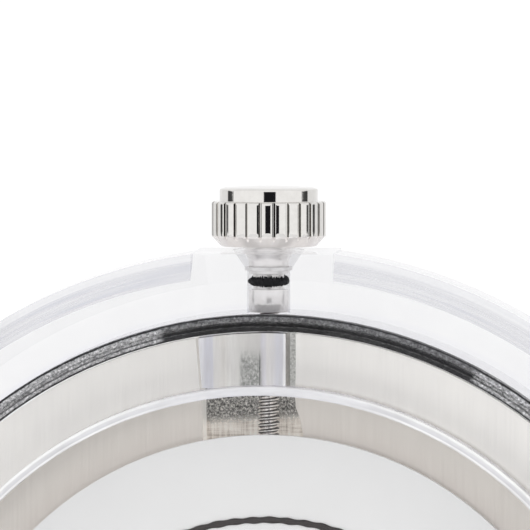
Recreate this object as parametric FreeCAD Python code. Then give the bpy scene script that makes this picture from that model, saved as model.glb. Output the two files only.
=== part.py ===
import FreeCAD, Part
import math
import os
from FreeCAD import Vector

os.makedirs("parts", exist_ok=True)

# Clear-cased quartz watch head, lying on its back.
# Millimetres. +Z leaves the dial, +Y leaves the crown, z = 0 is the flat steel back.

# --- case ---
CASE_R = 19.0
CASE_TOP_R = 18.1
CASE_BOTTOM_Z = 0.15
CASE_SIDE_TOP_Z = 6.2
CASE_TOP_Z = 7.8
CASE_FOOT_R = 17.6
CASE_FOOT_RISE_Z = 2.6
CEILING_Z = 5.4
CAVITY_R = 16.55
BOSS_HALF_W = 2.6
BOSS_ROOT_Y = 16.8
BOSS_FACE_Y = 18.88
BOSS_Z0 = 2.2
NECK_BORE_R = 0.79
WASHER_SEAT_R = 0.88
WASHER_SEAT_Y0 = 18.11
WASHER_SEAT_Y1 = 18.30
FLARE_R = 1.36
FLARE_LENGTH = 0.70

# --- lugs and spring-bar holes ---
LUG_INNER_Y = 9.1
LUG_OUTER_Y = 12.2
LUG_TIP_X = 22.6
LUG_ROOT_X = 12.5
LUG_Z0 = 0.9
LUG_ROOT_Z = 5.6
BAR_X = 21.0
BAR_Z = 2.4
BAR_HOLE_R = 0.55

# --- crystal and its gasket ---
CRYSTAL_R = 13.73
RIM_R = 14.06
CRYSTAL_Z0 = 7.1
CRYSTAL_Z1 = 8.6
RIM_Z0 = 6.9
RIM_Z1 = 8.0
CRYSTAL_BEVEL_R = 0.35
CRYSTAL_BEVEL_Z = 0.3

# --- steel ring, back and gaskets ---
RING_R = 15.9
GASKET_R = 15.95
RING_BORE_R = 11.65
RING_LEDGE_R = 11.3
RING_Z0 = 0.9
RING_TOP_Z = 5.2
SLOT_FLOOR_Z = 2.6
LEDGE_Z0 = 2.3
GASKET_Z0 = 4.6
BACK_GASKET_Z0 = 0.3
BACK_GASKET_Z1 = 0.85
BACK_BEVEL = 0.25
BACK_SCREW_CIRCLE_R = 13.75
BACK_SCREW_HEAD_R = 0.9
BACK_SCREW_R = 0.4
BACK_SCREW_SEAT_Z = 0.45
GUIDE_X0 = -2.50
GUIDE_X1 = 0.74
GUIDE_Y0 = 13.85
GUIDE_Y1 = 15.90
GUIDE_Z0 = 2.75
GUIDE_BORE_R = 0.5

# --- dial ---
DIAL_R = 12.15
DIAL_Z0 = 5.2
DIAL_Z1 = 5.6
DIAL_HOLE_R = 0.9
TRACK_R1 = 9.15
TRACK_R0 = 8.92
TRACK_HEIGHT = 0.06
MARKER_R0 = 6.3
MARKER_R1 = 8.1
MARKER_HEIGHT = 0.08

# --- crown and stem ---
STEM_Z = 3.5
CROWN_Y0 = 19.0
CHAMFER_Y = 19.41
RIB_TOP_Y = 20.66
CAP_TOP_Y = 21.12
CROWN_R = 2.115
RIB_EDGE_R = 2.095
GROOVE_R = 1.95
CAP_R = 1.81
RIB_COUNT = 26
RIB_TURN = 1.7
SEAL_Y = 17.70
NECK_R = 0.735
NECK_Y0 = 16.57
SEAL_BED_R = 0.57
SEAL_BED_HALF_W = 0.27
SEAL_R = 0.775
THREAD_R = 0.42
THREAD_PITCH = 0.225
THREAD_DEPTH = 0.10
THREAD_Y0 = 11.3
THREAD_Y1 = 18.7
PILOT_R = 0.22
SQUARE_HALF = 0.275
SQUARE_Y0 = 5.7
SQUARE_Y1 = 8.9
SHOULDER_R = 0.44
SLIDER_GROOVE_R = 0.28
SLIDER_GROOVE_Y0 = 9.2
SLIDER_GROOVE_Y1 = 9.65
CLUTCH_R = 0.62
CLUTCH_WAIST_R = 0.48
CLUTCH_Y0 = 7.40
CLUTCH_Y1 = 8.5

# --- movement levels, from the back up ---
BRIDGE_Z0 = 1.05
BRIDGE_Z1 = 1.45
PLATE_Z0 = 2.8
PLATE_Z1 = 4.4
PLATE_R = 11.6
POCKET_Z = 3.95
COVER_Z0 = 4.5
COVER_Z1 = 4.7
BOARD_Z0 = 2.3
BOARD_Z1 = 2.5
COIL_Y = -8.5
COIL_Z = 2.02
STATOR_Z0 = 2.2
STATOR_Z1 = 2.5
QUARTZ_X = -8.4
QUARTZ_Z = 1.62
ROTOR_WHEEL_Z = (1.68, 1.86)
SECONDS_WHEEL_Z = (2.0, 2.2)
CENTRE_WHEEL_Z = (2.4, 2.58)
MOTION_WHEEL_Z = (4.0, 4.2)
HOUR_WHEEL_Z = (4.5, 4.68)
HOUR_HAND_Z = (5.92, 6.06)
MINUTE_HAND_Z = (6.34, 6.46)
SECONDS_HAND_Z = (6.72, 6.8)

# --- wheel centres in plan ---
CENTRE = (0.0, 0.0)
THIRD = (3.4 * math.cos(math.radians(110)), 3.4 * math.sin(math.radians(110)))
STEP = (3.6 * math.cos(math.radians(240)), 3.6 * math.sin(math.radians(240)))
ROTOR = (STEP[0] + 2.8 * math.cos(math.radians(250)), STEP[1] + 2.8 * math.sin(math.radians(250)))
MOTION = (1.2034, 2.0765)
SETTING = (0.0, 5.15)
BATTERY = (6.1, -3.9)
BATTERY_R = 3.95
BATTERY_Z0 = 1.15
BATTERY_Z1 = 3.2
YOKE_PIVOT = (-3.0, 8.025)
PILLARS = [(3.6, 3.6), (-5.2, -1.6), (2.4, -6.9)]

# --- gear modules ---
M_ROTOR = 0.1
M_STEP = 0.12
M_THIRD = 0.1
M_CENTRE = 3.4 / 36.0
M_MOTION = 0.1
M_HOUR = 2.4 / 25.0


def disc(r, z0, z1, at=CENTRE):
    return Part.makeCylinder(r, z1 - z0, Vector(at[0], at[1], z0))


def ring(outer, inner, z0, z1, at=CENTRE):
    return disc(outer, z0, z1, at).cut(disc(inner, z0 - 1, z1 + 1, at))


def block(x0, x1, y0, y1, z0, z1):
    return Part.makeBox(x1 - x0, y1 - y0, z1 - z0, Vector(x0, y0, z0))


def rod_y(r, y0, y1, x=0.0, z=STEM_Z):
    return Part.makeCylinder(r, y1 - y0, Vector(x, y0, z), Vector(0, 1, 0))


def rod_x(r, x0, x1, y, z):
    return Part.makeCylinder(r, x1 - x0, Vector(x0, y, z), Vector(1, 0, 0))


def slab(points, z0, z1):
    corners = [Vector(x, y, z0) for x, y in points]
    outline = Part.makePolygon(corners + [corners[0]])
    return Part.Face(outline).extrude(Vector(0, 0, z1 - z0))


def turned_z(profile):
    corners = [Vector(r, 0, z) for r, z in profile]
    outline = Part.makePolygon(corners + [corners[0]])
    return Part.Face(outline).revolve(Vector(0, 0, 0), Vector(0, 0, 1), 360)


def turned_y(profile):
    corners = [Vector(r, y, STEM_Z) for r, y in profile]
    outline = Part.makePolygon(corners + [corners[0]])
    return Part.Face(outline).revolve(Vector(0, 0, STEM_Z), Vector(0, 1, 0), 360)


def join(shapes):
    solid = shapes[0]
    for other in shapes[1:]:
        solid = solid.fuse(other)
    return solid.removeSplitter()


def gear(teeth, module, z0, z1, at, turn=0.0, bore=0.0):
    """Spur wheel with tapered teeth; turn is the angle of one tooth in degrees."""
    pitch_r = teeth * module / 2
    root_r = pitch_r - 1.2 * module
    tip_r = pitch_r + 0.85 * module
    step = 2 * math.pi / teeth
    outline = []
    for i in range(teeth):
        middle = math.radians(turn) + i * step
        for r, share in ((root_r, -0.33), (pitch_r, -0.21), (tip_r, -0.10),
                         (tip_r, 0.10), (pitch_r, 0.21), (root_r, 0.33)):
            angle = middle + share * step
            outline.append((at[0] + r * math.cos(angle), at[1] + r * math.sin(angle)))
    wheel = slab(outline, z0, z1)
    if bore:
        wheel = wheel.cut(disc(bore, z0 - 1, z1 + 1, at))
    return wheel


def mesh_turn(at, teeth, other_at, other_teeth, other_turn):
    """Tooth angle that sets this wheel's teeth in the gaps of the other wheel."""
    line = math.degrees(math.atan2(at[1] - other_at[1], at[0] - other_at[0]))
    phase = ((other_turn - line) * other_teeth / 360.0) % 1.0
    return line + 180.0 - (phase + 0.5) * 360.0 / teeth


def spoked(wheel, at, hub_r, rim_r, z0, z1, spokes=4):
    """Opens crossings between hub and rim, leaving straight arms."""
    window = ring(rim_r, hub_r, z0 - 1, z1 + 1, at)
    for i in range(spokes):
        arm = block(0, rim_r + 1, -0.16, 0.16, z0 - 2, z1 + 2)
        arm.rotate(Vector(0, 0, 0), Vector(0, 0, 1), 360.0 * i / spokes)
        arm.translate(Vector(at[0], at[1], 0))
        window = window.cut(arm)
    return wheel.cut(window)


def screw(at, head_z0, head_z1, head_r, shank_r, shank_z1):
    """Slotted screw driven upwards from the back."""
    head = disc(head_r, head_z0, head_z1, at)
    slot = block(at[0] - 2, at[0] + 2, at[1] - 0.09, at[1] + 0.09, head_z0 - 1, head_z0 + 0.12)
    return join([head.cut(slot), disc(shank_r, head_z1, shank_z1, at)])


# ---------------------------------------------------------------- case group

def lug(side_x, side_y):
    """One curved lug, before its hole is drilled."""
    profile = [(LUG_ROOT_X, LUG_Z0), (LUG_ROOT_X, LUG_ROOT_Z), (16.5, LUG_ROOT_Z), (19.6, 4.9), (21.6, 3.8),
               (LUG_TIP_X, 2.6), (LUG_TIP_X, 1.5), (LUG_TIP_X - 0.6, LUG_Z0)]
    corners = [Vector(x, LUG_INNER_Y, z) for x, z in profile]
    outline = Part.makePolygon(corners + [corners[0]])
    solid = Part.Face(outline).extrude(Vector(0, LUG_OUTER_Y - LUG_INNER_Y, 0))
    if side_x < 0:
        solid = solid.mirror(Vector(0, 0, 0), Vector(1, 0, 0))
    if side_y < 0:
        solid = solid.mirror(Vector(0, 0, 0), Vector(0, 1, 0))
    return solid


def case_outside():
    return turned_z([(0, CASE_BOTTOM_Z), (CASE_FOOT_R, CASE_BOTTOM_Z), (CASE_R, CASE_FOOT_RISE_Z),
                     (CASE_R, CASE_SIDE_TOP_Z), (CASE_TOP_R, CASE_TOP_Z), (0, CASE_TOP_Z)])


def lugs():
    """Four strap lugs, each closed against the round side of the case."""
    made = []
    for side_x in (-1, 1):
        hole = rod_y(BAR_HOLE_R, -LUG_OUTER_Y - 1, LUG_OUTER_Y + 1, side_x * BAR_X, BAR_Z)
        for side_y in (-1, 1):
            made.append(lug(side_x, side_y).cut(case_outside()).cut(hole))
    return made


def clear_case():
    boss = block(-BOSS_HALF_W, BOSS_HALF_W, BOSS_ROOT_Y, BOSS_FACE_Y, BOSS_Z0, CASE_TOP_Z)
    body = join([case_outside(), boss])
    body = body.cut(block(-BOSS_HALF_W, BOSS_HALF_W, BOSS_FACE_Y, 20.0, 0.0, 9.0))
    body = body.cut(disc(CAVITY_R, -1.0, CEILING_Z))
    body = body.cut(disc(CRYSTAL_R, CEILING_Z - 1.0, 9.0))
    body = body.cut(disc(RIM_R, RIM_Z0, 9.0))
    body = body.cut(rod_y(NECK_BORE_R, CAVITY_R - 0.85, WASHER_SEAT_Y0 + 0.01))
    body = body.cut(rod_y(WASHER_SEAT_R, WASHER_SEAT_Y0, WASHER_SEAT_Y1))
    flare = Part.makeCone(WASHER_SEAT_R, FLARE_R, FLARE_LENGTH, Vector(0, WASHER_SEAT_Y1 - 0.08, STEM_Z),
                          Vector(0, 1, 0))
    return body.cut(flare)


def stem_guide():
    """Moulded block that fills the outer half of the milled slot round the stem."""
    outline = [(GUIDE_X0, GUIDE_Y1), (GUIDE_X0 + 0.16, GUIDE_Y0), (GUIDE_X1, GUIDE_Y0), (GUIDE_X1, GUIDE_Y1)]
    body = slab(outline, GUIDE_Z0, CEILING_Z - 0.02).common(disc(RING_R - 0.02, 0, CASE_TOP_Z))
    return body.cut(rod_y(GUIDE_BORE_R, GUIDE_Y0 - 1, GUIDE_Y1 + 1))


def ring_gasket():
    """Two-lipped seal pressed against the ceiling of the case."""
    return turned_z([(GASKET_R, GASKET_Z0), (CAVITY_R, GASKET_Z0), (CAVITY_R, 5.36),
                     (CAVITY_R - 0.08, CEILING_Z), (CAVITY_R - 0.24, 5.30), (CAVITY_R - 0.30, 5.16),
                     (CAVITY_R - 0.38, 5.18),
                     (CAVITY_R - 0.44, 5.34), (GASKET_R + 0.06, CEILING_Z), (GASKET_R, 5.36)])


def crystal():
    return turned_z([(0, CRYSTAL_Z0), (CRYSTAL_R, CRYSTAL_Z0), (CRYSTAL_R, CRYSTAL_Z1 - CRYSTAL_BEVEL_Z),
                     (CRYSTAL_R - CRYSTAL_BEVEL_R, CRYSTAL_Z1), (0, CRYSTAL_Z1)])


def movement_ring():
    body = ring(RING_R, RING_BORE_R, RING_Z0, RING_TOP_Z)
    body = join([body, ring(RING_BORE_R + 0.5, RING_LEDGE_R, LEDGE_Z0, PLATE_Z0)])
    slot = [(-2.60, 16.6), (-2.57, 15.6), (-2.45, 14.0), (-2.34, 13.6), (-2.30, 11.0), (1.38, 11.0),
            (1.37, 12.1), (1.26, 12.72), (1.11, 13.1), (1.07, 13.5), (1.09, 14.2), (1.10, 16.6)]
    body = body.cut(slab(slot, SLOT_FLOOR_Z, RING_TOP_Z + 1))
    for at in back_screw_places():
        body = body.cut(disc(BACK_SCREW_R + 0.02, 0.5, 2.3, at))
    return body


def back_screw_places():
    spots = []
    for angle in (45, 135, 225, 315):
        a = math.radians(angle)
        spots.append((BACK_SCREW_CIRCLE_R * math.cos(a), BACK_SCREW_CIRCLE_R * math.sin(a)))
    return spots


def case_back():
    body = turned_z([(0, 0), (RING_R - BACK_BEVEL, 0), (RING_R, BACK_BEVEL), (RING_R, RING_Z0), (0, RING_Z0)])
    for at in back_screw_places():
        body = body.cut(disc(BACK_SCREW_HEAD_R + 0.05, -1.0, BACK_SCREW_SEAT_Z, at))
        body = body.cut(disc(BACK_SCREW_R + 0.05, 0.0, 2.0, at))
    recess = ring(12.6, 12.3, -1.0, 0.12)
    return body.cut(recess)


def back_screws():
    places = back_screw_places()
    return [screw(at, 0.05, BACK_SCREW_SEAT_Z, BACK_SCREW_HEAD_R, BACK_SCREW_R, 2.1) for at in places]


def dial():
    return ring(DIAL_R, DIAL_HOLE_R, DIAL_Z0, DIAL_Z1)


def dial_track():
    return ring(TRACK_R1, TRACK_R0, DIAL_Z1, DIAL_Z1 + TRACK_HEIGHT)


def hour_markers():
    bars = []
    for i in range(12):
        half = 0.32 if i % 3 == 0 else 0.16
        bar = block(MARKER_R0, MARKER_R1, -half, half, DIAL_Z1, DIAL_Z1 + MARKER_HEIGHT)
        bar.rotate(Vector(0, 0, 0), Vector(0, 0, 1), 30.0 * i)
        bars.append(bar)
    return bars


def seal_washer():
    """Thin metal ring that keeps the neck in the bore."""
    inner = NECK_R + 0.02
    outer = WASHER_SEAT_R - 0.01
    y0 = WASHER_SEAT_Y0 + 0.01
    y1 = y0 + 0.12
    return turned_y([(inner, y0), (outer, y0), (outer, y1), (inner, y1)])


# ---------------------------------------------------------------- crown and stem

def around(r, degrees, y):
    a = math.radians(degrees)
    return Vector(r * math.sin(a), y, STEM_Z + r * math.cos(a))


def ribbed_body():
    """Convex ribs with narrow flat-bottomed grooves between them."""
    step = 360.0 / RIB_COUNT
    rib_half = step / 2 - 2.3
    groove_half = 1.3
    edges = []
    for i in range(RIB_COUNT):
        middle = i * step + RIB_TURN
        left = around(RIB_EDGE_R, middle - rib_half, CROWN_Y0)
        right = around(RIB_EDGE_R, middle + rib_half, CROWN_Y0)
        low = around(GROOVE_R, middle + step / 2 - groove_half, CROWN_Y0)
        far = around(GROOVE_R, middle + step / 2 + groove_half, CROWN_Y0)
        following = around(RIB_EDGE_R, middle + step - rib_half, CROWN_Y0)
        edges.append(Part.Arc(left, around(CROWN_R, middle, CROWN_Y0), right).toShape())
        edges.append(Part.makeLine(right, low))
        edges.append(Part.makeLine(low, far))
        edges.append(Part.makeLine(far, following))
    ribs = Part.Face(Part.Wire(edges)).extrude(Vector(0, RIB_TOP_Y - CROWN_Y0, 0))
    return ribs.common(turned_y([(0, CROWN_Y0), (1.76, CROWN_Y0), (CROWN_R + 0.01, CHAMFER_Y),
                                 (CROWN_R + 0.01, RIB_TOP_Y - 0.12), (CROWN_R - 0.13, RIB_TOP_Y),
                                 (0, RIB_TOP_Y)]))


def crown():
    dome = []
    for i in range(9):
        r = 1.68 * (8 - i) / 8.0
        dome.append((r, CAP_TOP_Y + 0.03 + 0.07 * (1 - (r / 1.68) ** 2)))
    cap = turned_y([(0, RIB_TOP_Y - 0.2), (CAP_R, RIB_TOP_Y - 0.2), (CAP_R, CAP_TOP_Y - 0.05),
                    (CAP_R - 0.02, CAP_TOP_Y - 0.01), (CAP_R - 0.06, CAP_TOP_Y + 0.02)] + dome)
    neck = turned_y([(0, NECK_Y0), (NECK_R - 0.05, NECK_Y0), (NECK_R, NECK_Y0 + 0.06),
                     (NECK_R, SEAL_Y - 0.30),
                     (SEAL_BED_R, SEAL_Y - SEAL_BED_HALF_W), (SEAL_BED_R, SEAL_Y + SEAL_BED_HALF_W),
                     (NECK_R, SEAL_Y + 0.30), (NECK_R, 18.42),
                     (0.80, 18.60), (0.98, CROWN_Y0 + 0.05), (0, CROWN_Y0 + 0.1)])
    body = join([ribbed_body(), cap, neck])
    return body.cut(rod_y(THREAD_R + 0.005, NECK_Y0 - 1, 18.75))


def crown_seal():
    outline = []
    for i in range(13):
        t = math.pi * i / 12.0
        outline.append((SEAL_R - 0.20 + 0.20 * math.sin(t), SEAL_Y - 0.25 * math.cos(t)))
    return turned_y(outline)


def stem():
    """Pilot, square for the clutch, slider groove and threaded end; the thread is drawn as closed rings."""
    corner_r = SQUARE_HALF * math.sqrt(2)
    outline = [(0, 4.0), (PILOT_R - 0.02, 4.0), (PILOT_R, 4.05), (PILOT_R, SQUARE_Y0), (corner_r, SQUARE_Y0),
               (corner_r, SQUARE_Y1), (SHOULDER_R, SQUARE_Y1), (SHOULDER_R, SLIDER_GROOVE_Y0),
               (SLIDER_GROOVE_R, SLIDER_GROOVE_Y0), (SLIDER_GROOVE_R, SLIDER_GROOVE_Y1),
               (SHOULDER_R, SLIDER_GROOVE_Y1), (SHOULDER_R, 11.0), (0.34, 11.1),
               (0.34, THREAD_Y0), (THREAD_R, THREAD_Y0 + 0.06)]
    for i in range(int((THREAD_Y1 - THREAD_Y0 - 0.2) / THREAD_PITCH)):
        y = THREAD_Y0 + 0.2 + i * THREAD_PITCH
        outline.append((THREAD_R, y - 0.09))
        outline.append((THREAD_R - THREAD_DEPTH, y - 0.015))
        outline.append((THREAD_R - THREAD_DEPTH, y + 0.015))
        outline.append((THREAD_R, y + 0.09))
    core = turned_y(outline + [(THREAD_R, THREAD_Y1), (0, THREAD_Y1)])
    for sx, sz in ((1, 0), (-1, 0), (0, 1), (0, -1)):
        flat = Part.makeBox(1, SQUARE_Y1 - SQUARE_Y0, 1, Vector(-0.5, SQUARE_Y0, -0.5))
        flat.translate(Vector(sx * (SQUARE_HALF + 0.5), 0, STEM_Z + sz * (SQUARE_HALF + 0.5)))
        core = core.cut(flat)
    return core


def clutch():
    face_y = CLUTCH_Y0 + 0.15
    body = turned_y([(0, face_y), (CLUTCH_R, face_y), (CLUTCH_R, 7.85), (CLUTCH_WAIST_R, 7.85),
                     (CLUTCH_WAIST_R, 8.2), (CLUTCH_R, 8.2), (CLUTCH_R, CLUTCH_Y1), (0, CLUTCH_Y1)])
    teeth = turned_y([(0.40, CLUTCH_Y0), (CLUTCH_R, CLUTCH_Y0), (CLUTCH_R, face_y + 0.01),
                      (0.40, face_y + 0.01)])
    for i in range(6):
        gap = Part.makeBox(0.17, 1.0, 2.0, Vector(-0.085, 6.56, -1.0))
        gap.rotate(Vector(0, 0, 0), Vector(0, 1, 0), 30.0 * i)
        gap.translate(Vector(0, 0, STEM_Z))
        teeth = teeth.cut(gap.common(block(-2, 2, 6.5, face_y, 1, 6)))
    body = join([body, teeth])
    return body.cut(block(-0.3, 0.3, 7.0, 9.0, STEM_Z - 0.3, STEM_Z + 0.3))


def pull_slider():
    plate = slab([(-2.4, 9.15), (0.55, 9.15), (0.55, 9.75), (-0.6, 9.75), (-0.9, 10.3), (-2.4, 10.3)],
                 COVER_Z0, COVER_Z1)
    tail = block(-2.4, -1.2, 8.45, 9.2, COVER_Z0, COVER_Z1)
    slot = block(-2.0, -1.6, 8.65, 10.05, COVER_Z0 - 1, COVER_Z1 + 1)
    peg = disc(0.17, STEM_Z + 0.33, COVER_Z0, (0.0, 9.425))
    return join([plate, tail, peg]).cut(slot)


def yoke():
    arm = slab([(-3.0, 7.75), (0.2, 7.9), (0.2, 8.15), (-3.0, 8.3)], COVER_Z0, COVER_Z1)
    eye = disc(0.5, COVER_Z0, COVER_Z1, YOKE_PIVOT)
    peg = disc(0.12, STEM_Z + 0.53, COVER_Z0, (0.0, 8.025))
    body = join([arm, eye, peg])
    return body.cut(disc(0.24, COVER_Z0 - 1, COVER_Z1 + 1, YOKE_PIVOT))


# ---------------------------------------------------------------- movement, fixed pieces

def main_plate():
    body = disc(PLATE_R, PLATE_Z0, PLATE_Z1)
    body = body.cut(disc(0.5, 2, 5))
    pockets = [disc(0.95, POCKET_Z, 5), disc(2.15, POCKET_Z, 5, MOTION), disc(1.8, POCKET_Z, 5, SETTING),
               disc(2.15, 4.35, 5)]
    for pocket in pockets:
        body = body.cut(pocket)
    body = body.cut(block(-0.8, 0.8, 6.7, 9.1, 2, 5))
    body = body.cut(block(-0.3, 0.3, 9.0, 10.8, 3.4, 5))
    body = body.cut(rod_y(0.5, 9.0, 12.0))
    body = body.cut(rod_y(0.26, 3.8, 7.0))
    body = body.cut(rod_y(0.42, 5.6, 7.0))
    body = body.cut(disc(BATTERY_R + 0.1, 2, 3.3, BATTERY))
    posts = [disc(0.2, POCKET_Z, COVER_Z0, MOTION), disc(0.25, POCKET_Z, 4.3, SETTING),
             disc(0.2, PLATE_Z1, COVER_Z1 + 0.1, YOKE_PIVOT),
             disc(0.32, PLATE_Z1, COVER_Z0 - 0.02, YOKE_PIVOT),
             disc(0.17, PLATE_Z1, COVER_Z1 + 0.1, (-1.8, 9.85))]
    body = join([body] + posts)
    for at in (THIRD, STEP, ROTOR):
        body = body.cut(disc(0.13, PLATE_Z0 - 1, 3.3, at))
    for at in PILLARS:
        body = join([body, disc(0.6, BRIDGE_Z1, PLATE_Z0 + 0.1, at)])
        body = body.cut(disc(0.25, 0, 3.2, at))
    return body


def train_bridge():
    outline = [(-3.7, -7.2), (3.0, -7.6), (3.4, -6.0), (3.6, -2.0), (4.5, 3.0), (4.2, 4.6), (1.5, 4.9),
               (-0.6, 4.9), (-2.2, 4.3), (-4.0, 0.4), (-6.1, -0.8), (-6.1, -2.4), (-4.6, -3.4)]
    body = slab(outline, BRIDGE_Z0, BRIDGE_Z1)
    body = body.cut(disc(BATTERY_R + 0.2, 0, 3, BATTERY))
    for at in (CENTRE, THIRD, STEP, ROTOR):
        body = body.cut(disc(0.13, 0, 3, at))
    for at in PILLARS:
        body = body.cut(disc(0.27, 0, 3, at))
    return body


def bridge_screws():
    return [screw(at, BRIDGE_Z0 - 0.1, BRIDGE_Z0, 0.55, 0.22, 3.0) for at in PILLARS]


def battery():
    can = turned_z([(0, BATTERY_Z0), (3.2, BATTERY_Z0), (3.2, 1.3), (BATTERY_R - 0.1, 1.3), (BATTERY_R, 1.4),
                    (BATTERY_R, BATTERY_Z1), (0, BATTERY_Z1)])
    can.translate(Vector(BATTERY[0], BATTERY[1], 0))
    return can


def battery_strap():
    across = block(-4.9, 4.6, -0.6, 0.6, 0.95, 1.12)
    leg = block(-4.9, -4.55, -0.6, 0.6, 0.95, PLATE_Z0)
    body = join([across, leg])
    body.rotate(Vector(0, 0, 0), Vector(0, 0, 1), 57.4)
    body.translate(Vector(BATTERY[0], BATTERY[1], 0))
    return body.common(disc(11.2, 0, 5)).cut(disc(0.6, 0, 2.75, PILLARS[2]))


def circuit_board():
    sector = ring(10.9, 6.4, BOARD_Z0, BOARD_Z1)
    reach = 20.0
    a0, a1 = math.radians(138), math.radians(208)
    wedge = slab([(0, 0), (reach * math.cos(a0), reach * math.sin(a0)), (-reach * 1.3, 0.0),
                  (reach * math.cos(a1), reach * math.sin(a1))], 2, 3)
    body = sector.common(wedge)
    spacer = [disc(0.45, BOARD_Z1, PLATE_Z0, at) for at in ((-9.9, 2.6), (-9.6, -3.4))]
    return join([body] + spacer)


def chip():
    blob = turned_z([(0, 1.75), (0.7, 1.8), (1.15, 2.0), (1.3, BOARD_Z0), (0, BOARD_Z0)])
    blob.translate(Vector(-8.3, -2.0, 0))
    return blob


def quartz_can():
    can = rod_y(0.65, -0.2, 4.6, QUARTZ_X, QUARTZ_Z)
    neck = rod_y(0.4, 4.6, 4.95, QUARTZ_X, QUARTZ_Z)
    return join([can, neck])


def coil_core():
    return block(-6.9, 1.0, COIL_Y - 0.35, COIL_Y + 0.35, 1.85, STATOR_Z0)


def coil_winding():
    barrel = rod_x(0.68, -5.9, -0.1, COIL_Y, COIL_Z)
    for x in (-5.9, -0.3):
        barrel = join([barrel, rod_x(0.78, x, x + 0.2, COIL_Y, COIL_Z)])
    return barrel.cut(coil_core())


def stator():
    foot_y = COIL_Y - 0.35
    body = join([block(-6.9, -6.0, foot_y, -4.8, STATOR_Z0, STATOR_Z1),
                 block(0.1, 1.0, foot_y, -4.8, STATOR_Z0, STATOR_Z1),
                 block(-6.9, 1.0, -6.7, -4.8, STATOR_Z0, STATOR_Z1)])
    body = body.cut(disc(0.85, 0, 4, ROTOR))
    for shift in (-0.8, 0.8):
        body = body.cut(disc(0.14, 0, 4, (ROTOR[0] + shift * 0.75, ROTOR[1] + shift * 0.75)))
    return body


# ---------------------------------------------------------------- movement, turning pieces

def arbor(at, r, z0, z1, pivot=0.1):
    body = disc(r, z0, z1, at)
    return join([body, disc(pivot, BRIDGE_Z0 + 0.05, 3.1, at)])


def rotor_magnet():
    return ring(0.68, 0.16, 2.0, 2.65, ROTOR)


def rotor_arbor():
    pinion = gear(8, M_ROTOR, 1.6, 1.95, ROTOR, mesh_turn(ROTOR, 8, STEP, 48, 0.0))
    return join([arbor(ROTOR, 0.16, 1.55, 2.7), pinion])


def step_wheel():
    z0, z1 = ROTOR_WHEEL_Z
    wheel = gear(48, M_ROTOR, z0, z1, STEP)
    wheel = spoked(wheel, STEP, 0.8, 1.95, z0, z1)
    pinion = gear(10, M_STEP, 1.9, 2.3, STEP, mesh_turn(STEP, 10, CENTRE, 50, 0.0))
    return join([arbor(STEP, 0.2, 1.55, 2.7), wheel, pinion, disc(0.8, z1, 1.9, STEP)])


def seconds_wheel():
    z0, z1 = SECONDS_WHEEL_Z
    wheel = gear(50, M_STEP, z0, z1, CENTRE)
    wheel = spoked(wheel, CENTRE, 0.8, 2.5, z0, z1)
    pinion = gear(8, M_THIRD, 1.6, 1.95, CENTRE)
    arbor_body = join([disc(0.12, 1.1, 6.95), disc(0.3, 1.55, 2.25)])
    return join([arbor_body, wheel, pinion])


def third_wheel():
    z0, z1 = ROTOR_WHEEL_Z
    wheel = gear(60, M_THIRD, z0, z1, THIRD, mesh_turn(THIRD, 60, CENTRE, 8, 0.0))
    wheel = spoked(wheel, THIRD, 0.7, 2.45, z0, z1)
    pinion = gear(8, M_CENTRE, 2.32, 2.68, THIRD)
    return join([arbor(THIRD, 0.16, 1.55, 2.7), wheel, pinion])


def centre_wheel():
    z0, z1 = CENTRE_WHEEL_Z
    wheel = gear(64, M_CENTRE, z0, z1, CENTRE, mesh_turn(CENTRE, 64, THIRD, 8, 0.0))
    wheel = spoked(wheel, CENTRE, 0.8, 2.5, z0, z1)
    cannon = gear(12, M_MOTION, 3.98, 4.28, CENTRE)
    body = join([disc(0.42, 2.36, 6.2), disc(0.34, 6.2, 6.55), wheel, cannon])
    return body.cut(disc(0.16, 0, 9))


def motion_wheel():
    z0, z1 = MOTION_WHEEL_Z
    wheel = gear(36, M_MOTION, z0, z1, MOTION, mesh_turn(MOTION, 36, CENTRE, 12, 0.0))
    pinion = gear(10, M_HOUR, z1, 4.75, MOTION)
    return join([wheel, pinion]).cut(disc(0.24, 0, 9, MOTION))


def hour_wheel():
    z0, z1 = HOUR_WHEEL_Z
    wheel = gear(40, M_HOUR, z0, z1, CENTRE, mesh_turn(CENTRE, 40, MOTION, 10, 0.0))
    body = join([wheel, disc(0.75, z0, 5.9), disc(0.66, 5.9, 6.08)])
    return body.cut(disc(0.47, 0, 9))


def setting_wheel():
    motion_turn = mesh_turn(MOTION, 36, CENTRE, 12, 0.0)
    z0, z1 = MOTION_WHEEL_Z
    return gear(30, M_MOTION, z0, z1, SETTING, mesh_turn(SETTING, 30, MOTION, 36, motion_turn), 0.29)


def hand(length, tail, hub_r, half_w, levels, clock_deg, bore):
    """Straight hand; clock_deg counts clockwise from the twelve, which lies along -X."""
    z0, z1 = levels
    blade = slab([(-tail, -half_w), (length * 0.72, -half_w), (length, -half_w * 0.35),
                  (length, half_w * 0.35), (length * 0.72, half_w), (-tail, half_w)], z0, z1)
    body = join([blade, disc(hub_r, z0, z1)])
    body.rotate(Vector(0, 0, 0), Vector(0, 0, 1), 180.0 - clock_deg)
    return body.cut(disc(bore, 0, 9))


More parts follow.
